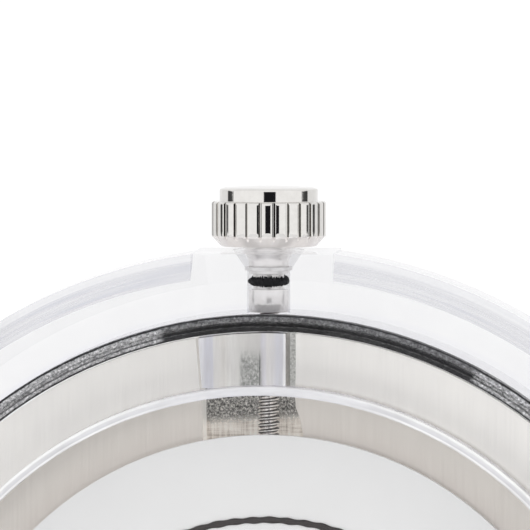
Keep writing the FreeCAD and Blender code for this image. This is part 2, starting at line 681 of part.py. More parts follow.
NODES = {
    "clear_case": clear_case,
    "lugs": lugs,
    "stem_guide": stem_guide,
    "crystal": crystal,
    "crystal_gasket": lambda: ring(RIM_R, CRYSTAL_R, RIM_Z0, RIM_Z1),
    "movement_ring": movement_ring,
    "ring_gasket": ring_gasket,
    "back_gasket": lambda: ring(CAVITY_R, GASKET_R, BACK_GASKET_Z0, BACK_GASKET_Z1),
    "case_back": case_back,
    "back_screws": back_screws,
    "dial": dial,
    "dial_track": dial_track,
    "hour_markers": hour_markers,
    "seal_washer": seal_washer,
    "crown": crown,
    "crown_seal": crown_seal,
    "stem": stem,
    "clutch": clutch,
    "pull_slider": pull_slider,
    "yoke": yoke,
    "main_plate": main_plate,
    "train_bridge": train_bridge,
    "bridge_screws": bridge_screws,
    "battery": battery,
    "battery_strap": battery_strap,
    "circuit_board": circuit_board,
    "chip": chip,
    "quartz_can": quartz_can,
    "coil_core": coil_core,
    "coil_winding": coil_winding,
    "stator": stator,
    "rotor_magnet": rotor_magnet,
    "rotor_arbor": rotor_arbor,
    "step_wheel": step_wheel,
    "seconds_wheel": seconds_wheel,
    "third_wheel": third_wheel,
    "centre_wheel": centre_wheel,
    "motion_wheel": motion_wheel,
    "hour_wheel": hour_wheel,
    "setting_wheel": setting_wheel,
    "hour_hand": lambda: hand(5.2, 1.2, 0.95, 0.42, HOUR_HAND_Z, 304.0, 0.665),
    "minute_hand": lambda: hand(8.2, 1.6, 0.8, 0.3, MINUTE_HAND_Z, 48.0, 0.345),
    "seconds_hand": lambda: hand(8.4, 2.6, 0.45, 0.11, SECONDS_HAND_Z, 210.0, 0.125),
}


for name, make in NODES.items():
    made = make()
    solids = made if isinstance(made, list) else [made]
    shape = Part.makeCompound([s for piece in solids for s in piece.Solids])
    bad = [s for s in shape.Solids if not s.isValid() or s.Volume <= 0]
    print(name, "solids", len(shape.Solids), "faces", len(shape.Faces), "bad", len(bad),
          "volume %.3f" % shape.Volume)
    shape.exportStep("parts/%s.step" % name)
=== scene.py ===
import bpy
import math
import random
from mathutils import Matrix, Vector


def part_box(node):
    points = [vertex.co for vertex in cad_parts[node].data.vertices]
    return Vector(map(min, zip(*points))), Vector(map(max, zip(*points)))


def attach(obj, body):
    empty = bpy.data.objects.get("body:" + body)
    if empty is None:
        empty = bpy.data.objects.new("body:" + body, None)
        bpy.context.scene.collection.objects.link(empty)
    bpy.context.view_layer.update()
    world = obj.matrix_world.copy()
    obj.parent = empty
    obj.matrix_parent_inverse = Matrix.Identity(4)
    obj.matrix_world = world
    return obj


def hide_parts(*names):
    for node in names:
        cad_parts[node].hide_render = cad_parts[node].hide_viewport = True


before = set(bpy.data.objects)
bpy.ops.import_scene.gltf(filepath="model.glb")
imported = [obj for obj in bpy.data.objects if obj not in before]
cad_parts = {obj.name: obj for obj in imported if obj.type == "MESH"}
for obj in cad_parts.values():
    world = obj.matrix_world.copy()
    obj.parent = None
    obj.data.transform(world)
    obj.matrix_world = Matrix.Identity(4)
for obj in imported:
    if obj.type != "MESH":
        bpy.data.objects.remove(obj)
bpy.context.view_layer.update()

MM = 0.001

STEM_LOW, STEM_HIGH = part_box("stem")
CROWN_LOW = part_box("crown")[0]
STEM_Z = (STEM_LOW.z + STEM_HIGH.z) / 2
GUIDE_RIGHT_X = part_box("stem_guide")[1].x / MM
TRACK_LOW, TRACK_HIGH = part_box("dial_track")

# Camera: a long lens over the crown, tilted a little towards the crown and towards +X.
TARGET = Vector((-0.136 * MM, CROWN_LOW.y + 1.73 * MM, STEM_Z))
FIELD_MM = 19.5
DISTANCE = 0.5
TILT_X = math.radians(3.5)
TILT_Y = math.radians(2.5)
SENSOR_MM = 36.0

# Light: strengths, and the size of the table in metres.
ROOM_LIGHT = 1.25
TABLE_GLOW = 0.90
TABLE_SIZE = 3.0
TABLE_DROP = 0.02 * MM

# Share of the clear plastic's sheen kept on its far walls and for light that passes inside.
FAR_SHEEN = 0.12
INSIDE_SHEEN = 0.12

# Dark strips on the table beside the crown, in millimetres from the watch's centre.
STRIP_X = 15.5
STRIP_Y = (12.0, 26.0)

# Dark cards in the room, as ranges of the direction they are seen in.
CARD_Y = (-0.20, 0.14)
OVERHEAD_CARD_X = (-0.14, 0.34)
SIDE_CARD_X = 0.93
SIDE_CARD_Z = (-0.10, 0.035)

# Places in the ring and case that change finish or painted shade, in millimetres.
RING_STEP_R = 14.0
RING_INNER_R = 12.7
SLOT_X = (-2.75, 1.6)
SLOT_FLOOR_Z = (2.3, 3.0)
SLOT_WALL_Z = (3.0, 5.15)
BOSS_X = 2.45
BOSS_Y = (15.5, 18.85)
CASE_EDGE_R = 18.74
GASKET_SHADE_R = (16.50, 16.72)
DARK_ARC_DEG = (-13.7, 28.2)

# Stem and thread, in millimetres.
THREAD_PITCH = 0.225
THREAD_START = 11.34
THREAD_END = 18.66
THREAD_ROOT_R = 0.30
THREAD_DEPTH = 0.12
THREAD_FULLNESS = 0.85
THREAD_STEPS = 12
STEM_AROUND = 64
SQUARE_HALF = 0.275
SQUARE_CORNER_R = 0.389

# Crown ribs, in millimetres and degrees.
RIB_COUNT = 26
RIB_TURN = 1.7
RIB_TOP_R = 2.115
RIB_ARC_R = 0.90
RIB_HALF_DEG = 5.25
RIB_ARC_STEPS = 8
RIB_START_Y = 19.01
RIB_END_Y = 20.665
CROWN_SHARP_DEG = 34
NECK_END_Y = 18.96
CROWN_BACK_Y = 19.40
CHAMFER_Y = 19.02
CHAMFER_R = 1.765
CHAMFER_RISE = 0.36
CHAMFER_LENGTH = 0.39
CAP_R = 1.75
CAP_EDGE_R = 0.06
CAP_EDGE_Y = 21.06
DOME_R = 1.68
DOME_Y = 21.15
DOME_RISE = 0.07

# O-ring in its bed, in millimetres.
SEAL_Y = 17.70
SEAL_R = 0.672
SEAL_HALF_R = 0.100
SEAL_END_HALF = 0.055
SEAL_SWELL = 0.130
SEAL_CRINKLE = 0.30
SEAL_DRIFT = 0.10
SEAL_WAVES = 14
SEAL_AROUND = 480
SEAL_RING = 16

# Black ring on the dial: width, bevel, twist heights in metres, and twists round it.
TRACK_WIDTH = 0.23 * MM
TRACK_BEVEL = 0.02 * MM
TRACK_EDGE = 0.004 * MM
TWIST_HEIGHT = 0.016 * MM
OUTER_DRIFT = 0.008 * MM
INNER_DRIFT = 0.006 * MM
TWISTS = 87
TRACK_AROUND = 1440


def make_camera():
    data = bpy.data.cameras.new("camera")
    data.sensor_width = SENSOR_MM
    data.lens = SENSOR_MM * DISTANCE / (FIELD_MM * MM)
    data.clip_start = 0.01
    data.clip_end = 10.0
    cam = bpy.data.objects.new("camera", data)
    bpy.context.scene.collection.objects.link(cam)
    back = Vector((math.tan(TILT_X), math.tan(TILT_Y), 1.0)).normalized()
    cam.location = TARGET + back * DISTANCE
    cam.rotation_mode = "QUATERNION"
    right = Vector((0, 1, 0)).cross(back).normalized()
    cam.rotation_quaternion = Matrix((right, back.cross(right), back)).transposed().to_quaternion()
    bpy.context.scene.camera = cam


# ---------------------------------------------------------------- node helpers

class Nodes:
    """A material's node tree, with short ways to add the nodes used here."""

    def __init__(self, tree):
        self.tree = tree
        self._where = None

    def add(self, kind, **settings):
        node = self.tree.nodes.new("ShaderNode" + kind)
        for key, value in settings.items():
            setattr(node, key, value)
        return node

    def put(self, source, target):
        self.tree.links.new(source, target)

    def feed(self, socket, value):
        if hasattr(value, "links"):
            self.put(value, socket)
        else:
            socket.default_value = value

    def math(self, op, a, b=0.0):
        node = self.add("Math", operation=op)
        for socket, value in zip(node.inputs, (a, b)):
            self.feed(socket, value)
        return node.outputs[0]

    def plus(self, a, b):
        return self.math("ADD", a, b)

    def minus(self, a, b):
        return self.math("SUBTRACT", a, b)

    def times(self, a, b):
        return self.math("MULTIPLY", a, b)

    def rest(self, share):
        """What a share of 0 to 1 leaves over."""
        return self.math("SUBTRACT", 1.0, share)

    def swing(self, noise, size):
        """A noise of 0 to 1 turned into a swing either side of nought."""
        return self.times(self.minus(noise, 0.5), size)

    def where(self):
        """x, y, z of the surface point in the piece's own frame, in millimetres."""
        if self._where is None:
            coords = self.add("TexCoord")
            parts = self.add("SeparateXYZ")
            self.put(coords.outputs["Object"], parts.inputs[0])
            self._where = [self.times(parts.outputs[i], 1000.0) for i in range(3)]
        return self._where

    def radius(self):
        """Distance from the watch's centre line, in millimetres."""
        x, y, z = self.where()
        return self.math("SQRT", self.plus(self.times(x, x), self.times(y, y)))

    def bearing(self):
        """Degrees round the dial, 0 at the crown, positive towards +X."""
        x, y, z = self.where()
        return self.times(self.math("ARCTAN2", x, y), 180.0 / math.pi)

    def combine(self, x, y, z):
        join = self.add("CombineXYZ")
        for socket, value in zip(join.inputs, (x, y, z)):
            self.feed(socket, value)
        return join.outputs[0]

    def banded(self, value, bands):
        """Colour by a length in millimetres; bands are (length, colour), in order."""
        low = bands[0][0]
        span = bands[-1][0] - low
        place = self.math("DIVIDE", self.minus(value, low), span)
        return self.ramp(place, [((at - low) / span, color) for at, color in bands])

    def stretch(self, x, y, z):
        """Object coordinates with each axis scaled, in repeats per millimetre."""
        px, py, pz = self.where()
        return self.combine(self.times(px, x), self.times(py, y), self.times(pz, z))

    def noise(self, vector, scale=1.0, detail=3.0, rough=0.6):
        node = self.add("TexNoise")
        self.put(vector, node.inputs["Vector"])
        node.inputs["Scale"].default_value = scale
        node.inputs["Detail"].default_value = detail
        node.inputs["Roughness"].default_value = rough
        return node.outputs["Fac"]

    def ramp(self, value, stops):
        """Colour or number by a value; stops are (value, colour or number), in order."""
        node = self.add("ValToRGB")
        elements = node.color_ramp.elements
        while len(elements) < len(stops):
            elements.new(0.5)
        for element, (place, color) in zip(elements, stops):
            element.position = place
            element.color = (*color, 1) if hasattr(color, "__len__") else (color, color, color, 1)
        self.put(value, node.inputs[0])
        return node.outputs[0]

    def mix(self, factor, a, b):
        node = self.add("Mix", data_type="RGBA")
        self.feed(node.inputs["Factor"], factor)
        for name, value in (("A", a), ("B", b)):
            socket = [s for s in node.inputs if s.name == name and s.type == "RGBA"][0]
            self.feed(socket, value if hasattr(value, "links") else (*value, 1))
        return [s for s in node.outputs if s.type == "RGBA"][0]

    def step(self, value, at, soft=0.02):
        """0 below at, 1 above it, over a soft edge; all in the value's own unit."""
        node = self.add("MapRange", interpolation_type="SMOOTHSTEP")
        self.put(value, node.inputs["Value"])
        node.inputs["From Min"].default_value = at - soft
        node.inputs["From Max"].default_value = at + soft
        return node.outputs[0]

    def between(self, value, low, high, soft=0.02):
        """1 from low to high and 0 outside, over soft edges."""
        up = self.step(value, low, soft)
        down = self.step(value, high, soft)
        return self.times(up, self.rest(down))

    def sheen_amount(self, stops):
        """How much of the pale sheen covers clear plastic: little on far walls and for light inside."""
        facing = self.add("LayerWeight")
        facing.inputs[0].default_value = 0.5
        amount = self.ramp(facing.outputs["Facing"], stops)
        far = self.add("NewGeometry").outputs["Backfacing"]
        amount = self.times(amount, self.rest(self.times(far, 1 - FAR_SHEEN)))
        direct = self.add("LightPath").outputs["Is Camera Ray"]
        keep = self.plus(INSIDE_SHEEN, self.times(direct, 1 - INSIDE_SHEEN))
        return self.times(amount, keep)

    def bump(self, height, strength, mm):
        node = self.add("Bump")
        node.inputs["Strength"].default_value = strength
        node.inputs["Distance"].default_value = mm * MM
        self.put(height, node.inputs["Height"])
        return node.outputs[0]


def new_material(name):
    m = bpy.data.materials.new(name)
    m.use_nodes = True
    m.node_tree.nodes.clear()
    n = Nodes(m.node_tree)
    out = n.add("OutputMaterial")
    return m, n, out


def principled(n, **values):
    p = n.add("BsdfPrincipled")
    for key, value in values.items():
        n.feed(p.inputs[key.replace("_", " ")], value)
    return p


def finish(m, n, out, shader):
    """Ends a material that has one shader."""
    n.put(shader.outputs[0], out.inputs[0])
    return m


def layered(m, n, out, share, under, over):
    """Ends a material with one shader laid over another by a share of 0 to 1."""
    mix = n.add("MixShader")
    n.put(share, mix.inputs[0])
    n.put(under.outputs[0], mix.inputs[1])
    n.put(over.outputs[0], mix.inputs[2])
    n.put(mix.outputs[0], out.inputs[0])
    return m


def speckled(name, low, high, scale, metallic=0.0, roughness=0.4, bump=0.0, bump_mm=0.005, stretch=(1, 1, 1),
             coat=0.0, specular=0.5):
    """General finish: colour, roughness and relief vary with a noise; scale is in grains per millimetre."""
    m, n, out = new_material(name)
    grain = n.noise(n.stretch(*[scale * k for k in stretch]), 1.0, 4.0, 0.6)
    broad = n.noise(n.stretch(0.35, 0.35, 0.35), 1.0, 2.0, 0.5)
    both = n.plus(n.times(grain, 0.7), n.times(broad, 0.3))
    color = n.ramp(both, [(0.32, low), (0.68, high)])
    rough = n.plus(roughness - 0.04, n.times(grain, 0.08))
    p = principled(n, Base_Color=color, Metallic=metallic, Roughness=rough)
    p.inputs["Specular IOR Level"].default_value = specular
    if coat:
        p.inputs["Coat Weight"].default_value = coat
        p.inputs["Coat Roughness"].default_value = 0.08
    if bump:
        n.put(n.bump(grain, bump, bump_mm), p.inputs["Normal"])
    return finish(m, n, out, p)


def clear(name, tint, edge, shade, front, slope):
    """Clear plastic: mostly see-through face on, and a soft pale sheen where it turns away."""
    m, n, out = new_material(name)
    see = n.add("BsdfTransparent")
    haze = n.noise(n.stretch(0.6, 0.6, 0.6), 1.0, 3.0, 0.6)
    n.put(n.ramp(haze, [(0.3, tint), (0.7, edge)]), see.inputs[0])
    lighter = tuple(min(1.0, c * 1.04) for c in shade)
    body = principled(n, Base_Color=n.ramp(haze, [(0.3, shade), (0.7, lighter)]), Roughness=0.04)
    amount = n.sheen_amount([(0.0, front), (0.25, front * 1.2), (0.55, slope * 0.7), (0.9, slope)])
    return layered(m, n, out, amount, see, body)


# ---------------------------------------------------------------- finishes

def case_plastic():
    """Polished clear moulding: pale lavender where it slopes, soft moulding streaks round the edge, and a
    faint painted shade by the gasket.
    """
    m, n, out = new_material("case_plastic")
    x, y, z = n.where()
    radius = n.radius()
    see = n.add("BsdfTransparent")
    haze = n.noise(n.stretch(0.5, 0.5, 0.5), 1.0, 3.0, 0.6)
    tint = n.ramp(haze, [(0.3, (0.946, 0.946, 0.951)), (0.7, (0.962, 0.962, 0.965))])
    # Painted shade: a faint darker lavender ring in the plastic just outside the gasket.
    gasket_shade = n.between(radius, *GASKET_SHADE_R, 0.09)
    n.put(n.mix(n.times(gasket_shade, 0.25), tint, (0.86, 0.86, 0.91)), see.inputs[0])
    round_way = n.times(n.bearing(), 0.05)
    streaks = n.noise(n.combine(round_way, n.times(radius, 5.5), n.times(z, 3.0)), 1.0, 4.0, 0.6)
    sheen = n.ramp(streaks, [(0.34, (0.30, 0.32, 0.42)), (0.44, (0.42, 0.42, 0.49)),
                             (0.55, (0.50, 0.50, 0.54)), (0.70, (0.64, 0.64, 0.67))])
    outer = n.step(radius, CASE_EDGE_R, 0.05)
    sheen = n.mix(n.times(outer, 0.7), sheen, (0.80, 0.80, 0.82))
    body = principled(n, Base_Color=sheen, Roughness=0.05)
    amount = n.sheen_amount([(0.0, 0.022), (0.2, 0.03), (0.45, 0.42), (0.75, 0.50), (0.98, 0.62)])
    boss = n.times(n.between(x, -BOSS_X, BOSS_X, 0.05), n.between(y, *BOSS_Y, 0.02))
    amount = n.times(amount, n.rest(n.times(boss, 0.6)))
    return layered(m, n, out, amount, see, body)


def milled_slot(n, y, x):
    """Slot floor: a pale cross-hatched end, a gritty dark middle and an even grey end under the gasket."""
    grit = n.noise(n.stretch(12.0, 12.0, 2.0), 1.0, 5.0, 0.85)
    dark = n.ramp(grit, [(0.40, (0.02, 0.02, 0.02)), (0.47, (0.13, 0.125, 0.12)), (0.54, (0.34, 0.33, 0.31)),
                         (0.66, (0.80, 0.78, 0.75))])
    lines_x = n.noise(n.stretch(9.5, 0.6, 1.0), 1.0, 3.0, 0.7)
    lines_y = n.noise(n.stretch(0.6, 9.5, 1.0), 1.0, 3.0, 0.7)
    beige = n.ramp(n.times(lines_x, lines_y), [(0.13, (0.40, 0.35, 0.31)), (0.20, (0.60, 0.55, 0.50)),
                                               (0.30, (0.74, 0.70, 0.65)), (0.42, (0.80, 0.77, 0.73))])
    slanted = n.minus(n.plus(y, n.times(grit, 1.5)), n.times(x, 0.055))
    bar = n.ramp(grit, [(0.36, (0.30, 0.305, 0.295)), (0.6, (0.72, 0.72, 0.70))])
    return n.mix(n.step(y, 13.75, 0.08), n.mix(n.step(slanted, 13.34, 0.13), beige, dark), bar)


def brushed_ring():
    """Brushed steel with strokes along Y, a browner painted shade by the dial, a rough milled slot and
    painted glow.
    """
    m, n, out = new_material("brushed_ring")
    x, y, z = n.where()
    radius = n.radius()
    strokes = n.noise(n.stretch(11.0, 0.35, 5.0), 1.0, 5.0, 0.6)
    broad = n.noise(n.stretch(0.5, 0.5, 0.5), 1.0, 2.0, 0.5)
    base = n.ramp(strokes, [(0.25, (0.915, 0.895, 0.855)), (0.75, (0.975, 0.955, 0.915))])
    # Painted shade: darker, browner steel next to the dial, where the dial's edge shades the ring.
    dial_shade = n.ramp(strokes, [(0.25, (0.640, 0.590, 0.550)), (0.75, (0.705, 0.660, 0.620))])
    mid = n.ramp(strokes, [(0.25, (0.705, 0.665, 0.620)), (0.75, (0.765, 0.725, 0.680))])
    outside = n.step(radius, RING_STEP_R, 0.1)
    color = n.mix(n.step(radius, RING_INNER_R, 0.6), dial_shade, n.mix(outside, mid, base))
    color = n.mix(n.times(broad, 0.12), color, (0.78, 0.78, 0.76))
    under_crown = n.times(n.between(x, *SLOT_X, 0.03), n.step(y, 0.0, 1.0))
    floor = n.times(n.between(z, *SLOT_FLOOR_Z, 0.05), under_crown)
    walls = n.times(n.between(z, *SLOT_WALL_Z, 0.05), under_crown)
    color = n.mix(walls, n.mix(floor, color, milled_slot(n, y, x)), (0.74, 0.72, 0.69))
    p = principled(n, Base_Color=color, Metallic=n.rest(n.times(floor, 0.8)),
                   Roughness=n.plus(0.36, n.times(strokes, 0.12)), Anisotropic=0.5)
    # Painted light: emission makes the slot and the ring's outer half glow, more towards +X, in place of
    # light scattered down through the clear block.
    inside = n.math("MINIMUM", n.plus(floor, walls), 1.0)
    right = n.math("MINIMUM", n.math("MAXIMUM", x, 0.0), 6.0)
    painted_glow = n.times(outside, n.plus(0.08, n.times(right, 0.013)))
    n.put(color, p.inputs["Emission Color"])
    n.put(n.plus(n.times(inside, 0.42), n.times(n.rest(inside), painted_glow)), p.inputs["Emission Strength"])
    n.put(n.bump(strokes, 0.15, 0.003), p.inputs["Normal"])
    return finish(m, n, out, p)


def crown_chrome():
    """Mirror chrome on the ribs and cap, satin on the rear chamfer and on the neck, both painted lighter as
    painted reflection.
    """
    m, n, out = new_material("crown_chrome")
    x, y, z = n.where()
    cloud = n.noise(n.stretch(3, 3, 3), 1.0, 4.0, 0.6)
    mirror = n.ramp(cloud, [(0.32, (0.625, 0.610, 0.590)), (0.68, (0.675, 0.662, 0.642))])
    # Satin finish with painted reflection: the rear chamfer and the neck are painted lighter than the chrome.
    satin = n.ramp(cloud, [(0.32, (0.80, 0.765, 0.745)), (0.68, (0.87, 0.835, 0.815))])
    neck = n.ramp(cloud, [(0.32, (0.84, 0.82, 0.81)), (0.68, (0.90, 0.885, 0.88))])
    back = n.rest(n.step(y, CROWN_BACK_Y, 0.02))
    shaft = n.rest(n.step(y, NECK_END_Y, 0.03))
    color = n.mix(shaft, n.mix(back, mirror, satin), neck)
    metal = n.rest(n.times(back, 0.7))
    rough = n.plus(0.045, n.plus(n.times(back, 0.10), n.times(cloud, 0.03)))
    p = principled(n, Base_Color=color, Metallic=metal, Roughness=rough)
    return finish(m, n, out, p)


def guide_plastic():
    """Milky moulded block with painted light and shade in bands across its width, a rough dark patch, and a
    painted shade on its right side.
    """
    m, n, out = new_material("guide_plastic")
    x, y, z = n.where()
    # Painted light and shade: these bands stand in for light refracted through a clear block.
    bands = [(-2.52, (0.30, 0.29, 0.29)), (-2.47, (0.66, 0.65, 0.65)), (-2.40, (0.80, 0.80, 0.82)),
             (-2.28, (0.74, 0.74, 0.77)), (-2.20, (0.64, 0.64, 0.69)), (-1.96, (0.64, 0.64, 0.69)),
             (-1.90, (0.73, 0.72, 0.70)), (-1.55, (0.72, 0.70, 0.66)), (-1.30, (0.76, 0.75, 0.72)),
             (-0.90, (0.66, 0.65, 0.62)), (-0.20, (0.60, 0.59, 0.57)), (-0.14, (0.64, 0.63, 0.67)),
             (-0.02, (0.70, 0.69, 0.72)), (0.06, (0.76, 0.745, 0.725)), (0.30, (0.71, 0.70, 0.71)),
             (0.42, (0.65, 0.65, 0.69)), (0.62, (0.66, 0.66, 0.70)), (0.66, (0.92, 0.92, 0.92)),
             (0.76, (0.86, 0.86, 0.86))]
    mottle = n.noise(n.stretch(14.0, 9.0, 1.0), 1.0, 5.0, 0.8)
    streak = n.noise(n.stretch(3.5, 0.5, 1.0), 1.0, 3.0, 0.6)
    wisps = n.noise(n.stretch(9.0, 0.7, 1.0), 1.0, 4.0, 0.7)
    shifted = n.plus(x, n.swing(streak, 0.10))
    color = n.banded(shifted, bands)
    color = n.mix(n.ramp(wisps, [(0.40, 0.0), (0.72, 0.45)]), color, (0.52, 0.50, 0.48))
    across = n.between(shifted, -0.93, -0.16, 0.09)
    deep = n.rest(n.step(n.plus(y, n.times(streak, 0.5)), 15.30, 0.42))
    strength = n.times(across, deep)
    rough = n.ramp(mottle, [(0.36, (0.14, 0.145, 0.135)), (0.45, (0.27, 0.28, 0.26)),
                            (0.53, (0.40, 0.40, 0.38)), (0.66, (0.72, 0.71, 0.69))])
    color = n.mix(n.times(strength, 0.92), color, rough)
    line = n.times(n.between(x, -0.235, -0.195, 0.012), deep)
    color = n.mix(n.times(line, 0.75), color, (0.06, 0.06, 0.06))
    # Painted shade: the right side wall, which faces the gap, is darker mottled grey.
    side = n.step(x, GUIDE_RIGHT_X - 0.008, 0.004)
    color = n.mix(side, color, n.ramp(mottle, [(0.36, (0.26, 0.255, 0.24)), (0.62, (0.52, 0.50, 0.48))]))
    p = principled(n, Base_Color=color, Roughness=0.4)
    n.put(n.bump(mottle, 0.12, 0.006), p.inputs["Normal"])
    return finish(m, n, out, p)


def gasket_rubber():
    """Grey-black rubber pressed flat, darker over the arc next to the crown."""
    m, n, out = new_material("gasket_rubber")
    radius = n.radius()
    turn = n.bearing()
    grain = n.noise(n.stretch(9, 9, 9), 1.0, 5.0, 0.75)
    along = n.noise(n.combine(n.times(turn, 0.55), n.times(radius, 4.0), 0.0), 1.0, 4.0, 0.65)
    wobble = n.plus(radius, n.swing(along, 0.05))
    light = n.banded(wobble, [(15.94, 0.06), (16.00, 0.06), (16.03, 0.42), (16.10, 0.52), (16.13, 0.22),
                              (16.16, 0.22), (16.19, 0.52), (16.33, 0.58), (16.45, 0.48), (16.475, 0.02),
                              (16.52, 0.02), (16.56, 0.32)])
    dark = n.banded(wobble, [(15.94, 0.09), (15.98, 0.022), (16.09, 0.022), (16.12, 0.12), (16.15, 0.016),
                             (16.22, 0.018), (16.26, 0.17), (16.36, 0.21), (16.47, 0.19), (16.50, 0.028),
                             (16.53, 0.020), (16.56, 0.12)])
    specks = n.ramp(grain, [(0.38, 0.35), (0.5, 0.9), (0.62, 1.7), (0.72, 3.0)])
    arc = n.between(n.plus(turn, n.swing(grain, 1.5)), *DARK_ARC_DEG, 0.5)
    flecked = n.add("VectorMath", operation="MULTIPLY")
    n.put(n.mix(arc, light, dark), flecked.inputs[0])
    n.put(specks, flecked.inputs[1])
    p = principled(n, Base_Color=flecked.outputs[0], Roughness=0.5)
    p.inputs["Specular IOR Level"].default_value = 0.2
    n.put(n.bump(grain, 0.3, 0.008), p.inputs["Normal"])
    return finish(m, n, out, p)


def rim_nylon():
    """Pale translucent ring round the crystal, with a painted highlight as a bright bead on both of its
    edges.
    """
    m, n, out = new_material("rim_nylon")
    radius = n.radius()
    turn = n.bearing()
    drift = n.noise(n.combine(n.times(turn, 0.12), n.times(radius, 2.0), 0.0), 1.0, 3.0, 0.6)
    wobble = n.plus(radius, n.swing(drift, 0.05))
    # Painted highlights: a bright bead on each edge, stronger at the left and right than over the top.
    bright = n.banded(wobble, [(13.70, (0.60, 0.60, 0.63)), (13.75, (0.88, 0.88, 0.89)),
                               (13.79, (0.92, 0.92, 0.92)), (13.82, (0.66, 0.66, 0.69)),
                               (13.90, (0.72, 0.72, 0.74)), (13.94, (0.76, 0.76, 0.77)),
                               (13.98, (0.95, 0.95, 0.95)), (14.03, (0.95, 0.95, 0.95)),
                               (14.07, (0.58, 0.57, 0.57))])
    soft = n.banded(wobble, [(13.70, (0.62, 0.62, 0.66)), (13.76, (0.74, 0.74, 0.77)),
                             (13.82, (0.79, 0.79, 0.81)), (13.92, (0.77, 0.77, 0.80)),
                             (14.00, (0.80, 0.80, 0.82)), (14.04, (0.66, 0.65, 0.67)),
                             (14.07, (0.58, 0.57, 0.59))])
    highlight_sides = n.step(n.math("ABSOLUTE", turn), 17.0, 7.0)
    color = n.mix(highlight_sides, soft, bright)
    see = n.add("BsdfTransparent")
    see.inputs[0].default_value = (0.93, 0.93, 0.95, 1)
    body = principled(n, Base_Color=color, Roughness=0.22)
    clarity = n.ramp(drift, [(0.35, 0.72), (0.65, 0.90)])
    return layered(m, n, out, clarity, see, body)


def use(node, material):
    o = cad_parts[node]
    o.data.materials.clear()
    o.data.materials.append(material)


def light_table():
    """The white glowing table under the object, with two dark strips that show only in reflections."""
    bpy.ops.mesh.primitive_plane_add(size=TABLE_SIZE, location=(0, 0, -TABLE_DROP))
    floor = bpy.context.object
    floor.name = "floor"
    m, n, out = new_material("light_table")
    soft = n.noise(n.stretch(0.002, 0.002, 0.002), 1.0, 2.0, 0.5)
    pale = n.ramp(soft, [(0.3, (0.12, 0.12, 0.12)), (0.7, (0.13, 0.13, 0.13))])
    x, y, z = n.where()
    strips = n.times(n.step(n.math("ABSOLUTE", x), STRIP_X, 1.0), n.between(y, *STRIP_Y, 1.0))
    dark = n.times(strips, n.rest(n.add("LightPath").outputs["Is Camera Ray"]))
    p = principled(n, Base_Color=n.mix(dark, pale, (0.01, 0.01, 0.01)), Roughness=0.9)
    p.inputs["Emission Color"].default_value = (1, 1, 1, 1)
    n.put(n.times(TABLE_GLOW, n.rest(dark)), p.inputs["Emission Strength"])
    floor.data.materials.append(finish(m, n, out, p))


def white_room():
    """A plain white room, with small dark cards overhead and at the sides for the chrome to mirror."""
    world = bpy.data.worlds.new("studio")
    bpy.context.scene.world = world
    world.use_nodes = True
    world.node_tree.nodes.clear()
    n = Nodes(world.node_tree)
    out = n.add("OutputWorld")
    plain = n.add("Background")
    plain.inputs[1].default_value = ROOM_LIGHT
    studio = n.add("Background")
    studio.inputs[1].default_value = ROOM_LIGHT
    parts = n.add("SeparateXYZ")
    n.put(n.add("TexCoord").outputs["Generated"], parts.inputs[0])
    x, y, z = parts.outputs
    overhead = n.times(n.between(x, *OVERHEAD_CARD_X, 0.015), n.step(z, 0.0, 0.1))
    sides = n.times(n.step(n.math("ABSOLUTE", x), SIDE_CARD_X, 0.02), n.between(z, *SIDE_CARD_Z, 0.015))
    cards = n.times(n.between(y, *CARD_Y, 0.02), n.math("MAXIMUM", overhead, sides))
    n.put(n.mix(cards, (1, 1, 1), (0.012, 0.012, 0.014)), studio.inputs[0])
    mix = n.add("MixShader")
    n.put(n.add("LightPath").outputs["Is Camera Ray"], mix.inputs[0])
    n.put(studio.outputs[0], mix.inputs[1])
    n.put(plain.outputs[0], mix.inputs[2])
    n.put(mix.outputs[0], out.inputs[0])


# ---------------------------------------------------------------- pieces drawn finer than the CAD

def mesh_piece(name, verts, faces, material, body, stands_for):
    """A smooth mesh that moves with its body and stands for one CAD node."""
    mesh = bpy.data.meshes.new(name)
    mesh.from_pydata(verts, [], faces)
    mesh.update()
    for polygon in mesh.polygons:
        polygon.use_smooth = True
    piece = bpy.data.objects.new(name, mesh)
    bpy.context.scene.collection.objects.link(piece)
    piece.data.materials.append(material)
    use(stands_for, material)
    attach(piece, body)
    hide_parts(stands_for)
    return piece


def lathe_faces(rows, around):
    """Quads between rows of points that go round an axis, with both ends capped."""
    faces = []
    for i in range(rows - 1):
        for k in range(around):
            j = (k + 1) % around
            faces.append((i * around + k, i * around + j, (i + 1) * around + j, (i + 1) * around + k))
    faces.append(tuple(reversed(range(around))))
    faces.append(tuple((rows - 1) * around + k for k in range(around)))
    return faces


def hoop_faces(around, ring):
    """Quads of a closed hoop whose section has the given number of points."""
    faces = []
    for k in range(around):
        j = (k + 1) % around
        for i in range(ring):
            m = (i + 1) % ring
            faces.append((k * ring + i, k * ring + m, j * ring + m, j * ring + i))
    return faces


def turned_over(faces):
    return [tuple(reversed(face)) for face in faces]


def round_crown_axis(radius, y, angle):
    """A point about the crown's axis; the angle is from straight up, towards +X."""
    return (radius * math.sin(angle) * MM, y * MM, STEM_Z + radius * math.cos(angle) * MM)


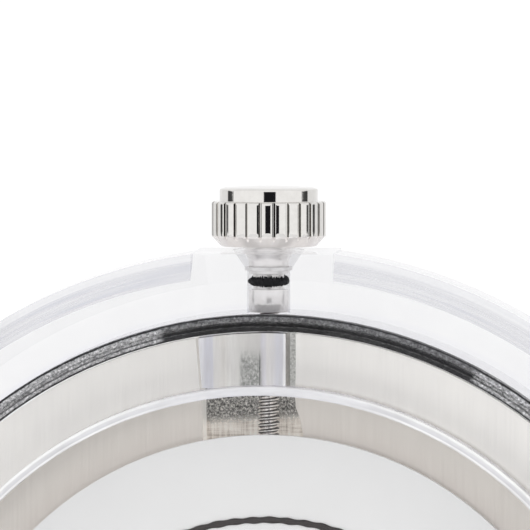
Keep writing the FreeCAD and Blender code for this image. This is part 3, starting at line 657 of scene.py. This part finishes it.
def stem_steel():
    """Bright turned steel; painted shade darkens the thread's flanks, crests and roots stay bright, and a
    painted glow lifts the thread.
    """
    m, n, out = new_material("stem_steel")
    x, y, z = n.where()
    fine = n.noise(n.stretch(12.0, 12.0, 12.0), 1.0, 4.0, 0.6)
    turned = n.math("DIVIDE", n.math("ARCTAN2", n.minus(z, STEM_Z / MM), x), 2 * math.pi)
    turns = n.times(n.plus(n.math("DIVIDE", y, THREAD_PITCH), turned), 2 * math.pi)
    flank = n.math("ABSOLUTE", n.math("SINE", turns))
    bright = n.ramp(fine, [(0.3, (0.84, 0.82, 0.80)), (0.7, (0.97, 0.96, 0.95))])
    cut = n.step(y, THREAD_START, 0.01)
    # Painted shade on the thread's flanks.
    flank_shade = n.times(cut, n.ramp(flank, [(0.45, 0.0), (0.92, 1.0)]))
    color = n.mix(flank_shade, bright, (0.20, 0.18, 0.18))
    p = principled(n, Base_Color=color, Metallic=1.0, Roughness=0.05)
    n.put(n.bump(fine, 0.05, 0.003), p.inputs["Normal"])
    # Painted light: the threaded part glows a little.
    n.put(color, p.inputs["Emission Color"])
    n.put(n.times(cut, 0.08), p.inputs["Emission Strength"])
    return finish(m, n, out, p)


def stem_radius(kind, y, angle):
    """Radius of the stem's skin: a plain one, the clutch square or the helical thread."""
    if kind == "square":
        return min(SQUARE_CORNER_R, SQUARE_HALF / max(abs(math.cos(angle)), abs(math.sin(angle))))
    if kind == "thread":
        phase = (y / THREAD_PITCH + angle / (2 * math.pi)) % 1.0
        wave = max(0.0, math.cos((phase - 0.5) * 2 * math.pi) * 0.5 + 0.5)
        return THREAD_ROOT_R + THREAD_DEPTH * wave ** THREAD_FULLNESS
    return kind


def threaded_stem(material):
    """The whole stem in one skin: pilot, clutch square, slider groove and a true helical thread."""
    rows = [(4.0, 0.20), (4.05, 0.22), (5.7, 0.22), (5.7, "square"), (8.9, "square"), (8.9, 0.44),
            (9.2, 0.44), (9.2, 0.28), (9.65, 0.28), (9.65, 0.44), (11.0, 0.44), (11.1, 0.34), (11.3, 0.34)]
    count = int((THREAD_END - THREAD_START) / THREAD_PITCH * THREAD_STEPS)
    rows += [(THREAD_START + i * THREAD_PITCH / THREAD_STEPS, "thread") for i in range(count)]
    rows += [(18.68, 0.40), (18.7, 0.40)]
    verts = []
    for y, kind in rows:
        for k in range(STEM_AROUND):
            a = 2 * math.pi * k / STEM_AROUND
            r = stem_radius(kind, y, a)
            verts.append((r * math.cos(a) * MM, y * MM, STEM_Z + r * math.sin(a) * MM))
    faces = turned_over(lathe_faces(len(rows), STEM_AROUND))
    piece = mesh_piece("threaded_stem", verts, faces, material, "crown_stem", "stem")
    return piece


def rib_outline():
    """(degrees, radius) once round the crown: rounded ribs with narrow grooves between them."""
    step = 360.0 / RIB_COUNT
    centre = RIB_TOP_R - RIB_ARC_R
    groove = [(5.50, 2.050), (5.72, 1.985), (6.30, 1.962), (6.92, 1.958), (7.54, 1.962), (8.12, 1.985),
              (8.34, 2.050)]
    outline = []
    for i in range(RIB_COUNT):
        middle = i * step + RIB_TURN
        for k in range(-RIB_ARC_STEPS, RIB_ARC_STEPS + 1):
            across = k / RIB_ARC_STEPS
            a = math.radians(RIB_HALF_DEG * across)
            r = centre * math.cos(a) + math.sqrt(RIB_ARC_R ** 2 - (centre * math.sin(a)) ** 2)
            outline.append((middle + RIB_HALF_DEG * across, r - 0.006 * abs(across) ** 8))
        outline += [(middle + turn, r) for turn, r in groove]
    return outline


def crown_profile():
    """(y, largest radius) from the tube's inner end to the middle of the domed cap."""
    rows = [(16.57, 0.42), (16.57, 0.66), (16.58, 0.685), (16.60, 0.715), (16.63, 0.735), (17.39, 0.735),
            (17.405, 0.725), (17.43, 0.57), (17.97, 0.57), (17.995, 0.725), (18.01, 0.735), (18.42, 0.735),
            (18.52, 0.76), (18.62, 0.81), (18.74, 0.87), (18.86, 0.92), (18.96, 0.96), (19.0, 1.00),
            (19.0, 1.70), (19.005, 1.735), (19.02, 1.765)]
    tenths = [k / 10.0 for k in range(1, 11)]
    rows += [(CHAMFER_Y + CHAMFER_LENGTH * t, CHAMFER_R + CHAMFER_RISE * t) for t in tenths]
    rows += [(19.60, 2.2), (20.30, 2.2), (20.52, 2.2)]
    for k in range(9):
        a = math.radians(90 * k / 8.0)
        rows.append((20.53 + 0.13 * math.sin(a), 1.995 + 0.13 * math.cos(a)))
    rows += [(20.66, 1.90), (20.665, 1.83), (20.68, 1.812), (20.72, 1.81), (20.74, 1.81), (21.045, 1.81)]
    for k in range(5):
        a = math.radians(22.5 * k)
        rows.append((CAP_EDGE_Y + CAP_EDGE_R * math.sin(a), CAP_R + CAP_EDGE_R * math.cos(a)))
    rows += [(DOME_Y, DOME_R)]
    rows += [(DOME_Y + DOME_RISE * (1 - (r / DOME_R) ** 2), r) for r in (1.4, 1.1, 0.8, 0.5, 0.2)]
    return rows


def fine_crown(material):
    """Crown and neck in one skin, with round-topped ribs, chamfer, cap and a domed end."""
    rows = crown_profile()
    outline = rib_outline()
    verts = []
    for y, limit in rows:
        for turn, rib_r in outline:
            r = min(limit, rib_r) if RIB_START_Y < y < RIB_END_Y else limit
            verts.append(round_crown_axis(r, y, math.radians(turn)))
    faces = lathe_faces(len(rows), len(outline))
    piece = mesh_piece("ribbed_crown", verts, faces, material, "crown_stem", "crown")
    piece.data.set_sharp_from_angle(angle=math.radians(CROWN_SHARP_DEG))
    return piece


def pressed_seal(material):
    """The O-ring as it sits squeezed in its bed: fuller at the top and bottom, with a crinkled edge."""
    random.seed(7)
    waves = [(random.randint(12, 80), random.uniform(0, 6.28), random.uniform(0.2, 1.0))
             for _ in range(SEAL_WAVES)]
    verts = []
    for k in range(SEAL_AROUND):
        a = 2 * math.pi * k / SEAL_AROUND
        crinkle = sum(w * math.sin(f * a + p) for f, p, w in waves) / len(waves)
        half = SEAL_END_HALF + SEAL_SWELL * abs(math.cos(a)) ** 1.5
        for i in range(SEAL_RING):
            t = 2 * math.pi * i / SEAL_RING
            y = SEAL_Y + (half + SEAL_CRINKLE * crinkle) * math.cos(t) + SEAL_DRIFT * crinkle
            r = SEAL_R + (SEAL_HALF_R + 0.010 * crinkle) * math.sin(t)
            verts.append(round_crown_axis(r, y, a))
    faces = hoop_faces(SEAL_AROUND, SEAL_RING)
    piece = mesh_piece("pressed_seal", verts, faces, material, "crown_stem", "crown_seal")
    return piece


def rope_track(material):
    """The dial's black ring, with the slightly twisted edge of a printed or laid cord."""
    outer = (TRACK_HIGH.x - TRACK_LOW.x) / 2
    shoulder = TRACK_HIGH.z - TRACK_BEVEL
    verts = []
    for k in range(TRACK_AROUND):
        a = 2 * math.pi * k / TRACK_AROUND
        out_swing = TWIST_HEIGHT * math.sin(TWISTS * a) + OUTER_DRIFT * math.sin(31 * a + 1.0)
        in_swing = TWIST_HEIGHT * math.sin(TWISTS * a + 2.2) + INNER_DRIFT * math.sin(47 * a)
        inside_r = outer - TRACK_WIDTH + in_swing
        outside_r = outer - TRACK_EDGE + out_swing
        section = [(inside_r, TRACK_LOW.z), (inside_r, shoulder), (outer - TRACK_WIDTH * 0.5, TRACK_HIGH.z),
                   (outside_r, shoulder), (outside_r, TRACK_LOW.z)]
        verts += [(r * math.sin(a), r * math.cos(a), z) for r, z in section]
    faces = turned_over(hoop_faces(TRACK_AROUND, 5))
    piece = mesh_piece("rope_track", verts, faces, material, "case", "dial_track")
    return piece


# ---------------------------------------------------------------- finishes by the grain

# Name, nodes, two colours, grains per millimetre and the rest of the finish.
FINISHES = [
    ("washer_steel", ["seal_washer"], (0.72, 0.71, 0.71), (0.84, 0.83, 0.83), 10,
     dict(metallic=0.3, roughness=0.35)),
    ("back_steel", ["case_back"], (0.50, 0.50, 0.49), (0.62, 0.615, 0.60), 8,
     dict(metallic=1.0, roughness=0.32, bump=0.2, bump_mm=0.003, stretch=(0.08, 2.0, 1.0))),
    ("screw_steel", ["back_screws", "bridge_screws"], (0.48, 0.48, 0.49), (0.58, 0.58, 0.59), 14,
     dict(metallic=1.0, roughness=0.25)),
    ("lever_steel", ["pull_slider", "yoke", "battery_strap", "clutch"],
     (0.48, 0.48, 0.49), (0.60, 0.60, 0.60), 10,
     dict(metallic=1.0, roughness=0.3, bump=0.1, bump_mm=0.002, stretch=(2.0, 0.3, 1.0))),
    ("cell_steel", ["battery", "quartz_can"], (0.56, 0.56, 0.56), (0.66, 0.66, 0.66), 9,
     dict(metallic=1.0, roughness=0.22)),
    ("soft_iron", ["coil_core", "stator"], (0.30, 0.30, 0.31), (0.42, 0.42, 0.43), 9,
     dict(metallic=1.0, roughness=0.42)),
    ("pinion_steel", ["rotor_arbor"], (0.46, 0.46, 0.47), (0.58, 0.58, 0.59), 14,
     dict(metallic=1.0, roughness=0.25)),
    ("brass", ["seconds_wheel", "centre_wheel", "hour_wheel"], (0.52, 0.37, 0.13), (0.66, 0.49, 0.20), 8,
     dict(metallic=1.0, roughness=0.28, bump=0.1, bump_mm=0.002)),
    ("wheel_plastic", ["step_wheel", "third_wheel", "motion_wheel", "setting_wheel"], (0.66, 0.65, 0.61),
     (0.74, 0.73, 0.69), 6, dict(roughness=0.45, bump=0.1)),
    ("plate_plastic", ["main_plate"], (0.035, 0.035, 0.040), (0.060, 0.060, 0.066), 6,
     dict(roughness=0.5, bump=0.15)),
    ("bridge_plastic", ["train_bridge"], (0.06, 0.06, 0.068), (0.09, 0.09, 0.10), 6,
     dict(roughness=0.5, bump=0.15)),
    ("board_green", ["circuit_board"], (0.02, 0.12, 0.06), (0.035, 0.17, 0.09), 5,
     dict(roughness=0.4, coat=0.5)),
    ("resin", ["chip"], (0.01, 0.01, 0.01), (0.03, 0.03, 0.03), 6,
     dict(roughness=0.3, bump=0.2, bump_mm=0.01)),
    ("copper", ["coil_winding"], (0.36, 0.13, 0.05), (0.62, 0.27, 0.12), 18,
     dict(metallic=1.0, roughness=0.3, bump=0.7, bump_mm=0.02, stretch=(1.0, 0.05, 0.05))),
    ("magnet", ["rotor_magnet"], (0.10, 0.10, 0.11), (0.17, 0.17, 0.18), 12,
     dict(metallic=1.0, roughness=0.4)),
    ("dial_paint", ["dial"], (0.700, 0.700, 0.700), (0.720, 0.720, 0.720), 30,
     dict(roughness=0.55, bump=0.05, bump_mm=0.002)),
    ("marker_black", ["hour_markers"], (0.006, 0.006, 0.006), (0.03, 0.028, 0.026), 10,
     dict(roughness=0.35)),
    ("hand_lacquer", ["hour_hand", "minute_hand", "seconds_hand"],
     (0.006, 0.006, 0.007), (0.02, 0.02, 0.022), 8, dict(roughness=0.2)),
]

make_camera()
light_table()
white_room()
bpy.context.scene.view_settings.view_transform = "Standard"

for name, nodes, low, high, grains, more in FINISHES:
    material = speckled(name, low, high, grains, **more)
    for node in nodes:
        use(node, material)

fine_crown(crown_chrome())
pressed_seal(speckled("seal_rubber", (0.002, 0.002, 0.003), (0.012, 0.012, 0.013), 16, roughness=0.5,
                      bump=0.5, bump_mm=0.008, specular=0.12))
use("movement_ring", brushed_ring())
use("stem_guide", guide_plastic())
use("ring_gasket", gasket_rubber())
plastic = case_plastic()
use("clear_case", plastic)
use("lugs", plastic)
use("crystal", clear("crystal_glass", (0.985, 0.985, 0.985), (0.995, 0.995, 0.995), (0.9, 0.9, 0.9),
                     0.02, 0.35))
use("crystal_gasket", rim_nylon())
use("back_gasket", clear("back_nylon", (0.97, 0.97, 0.975), (0.985, 0.985, 0.985), (0.85, 0.85, 0.87),
                         0.10, 0.30))
threaded_stem(stem_steel())
rope_track(speckled("track_black", (0.008, 0.005, 0.005), (0.024, 0.017, 0.016), 9, roughness=0.6, bump=0.3,
                    bump_mm=0.01))
